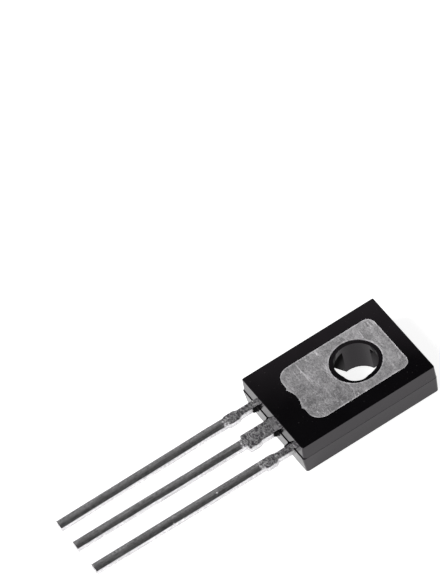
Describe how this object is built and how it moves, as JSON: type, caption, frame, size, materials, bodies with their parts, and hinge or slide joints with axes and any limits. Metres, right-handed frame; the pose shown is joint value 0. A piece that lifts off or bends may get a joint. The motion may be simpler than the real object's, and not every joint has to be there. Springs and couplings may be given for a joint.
{
  "type": "power transistor",
  "caption": "Flat power transistor in black moulded epoxy with an exposed metal mounting plate, a lined screw hole and flat leads.",
  "frame": {"origin": "on the axis of the screw hole, in the plane of the plastic front face that the part lies on", "axes": "+Z along the screw hole, from the front face towards the mounting plate; -Y along the leads, towards their tips; +X across the leads, towards the emitter lead"},
  "size_m": [0.0076, 0.0265, 0.0026],
  "materials": {
    "epoxy": "smooth black moulded epoxy with a slight sheen",
    "tinned_copper": "dull mottled tin on stamped copper alloy",
    "silicon": "polished silicon",
    "die_attach": "dull solder",
    "bond_wire": "drawn aluminium"
  },
  "bodies": {
    "root": {"epoxy_body": "epoxy", "collector_frame": "tinned_copper", "emitter_lead": "tinned_copper", "base_lead": "tinned_copper", "silicon_die": "silicon", "die_solder": "die_attach", "emitter_bond_wire": "bond_wire", "base_bond_wire": "bond_wire"}
  },
  "joints": []
}
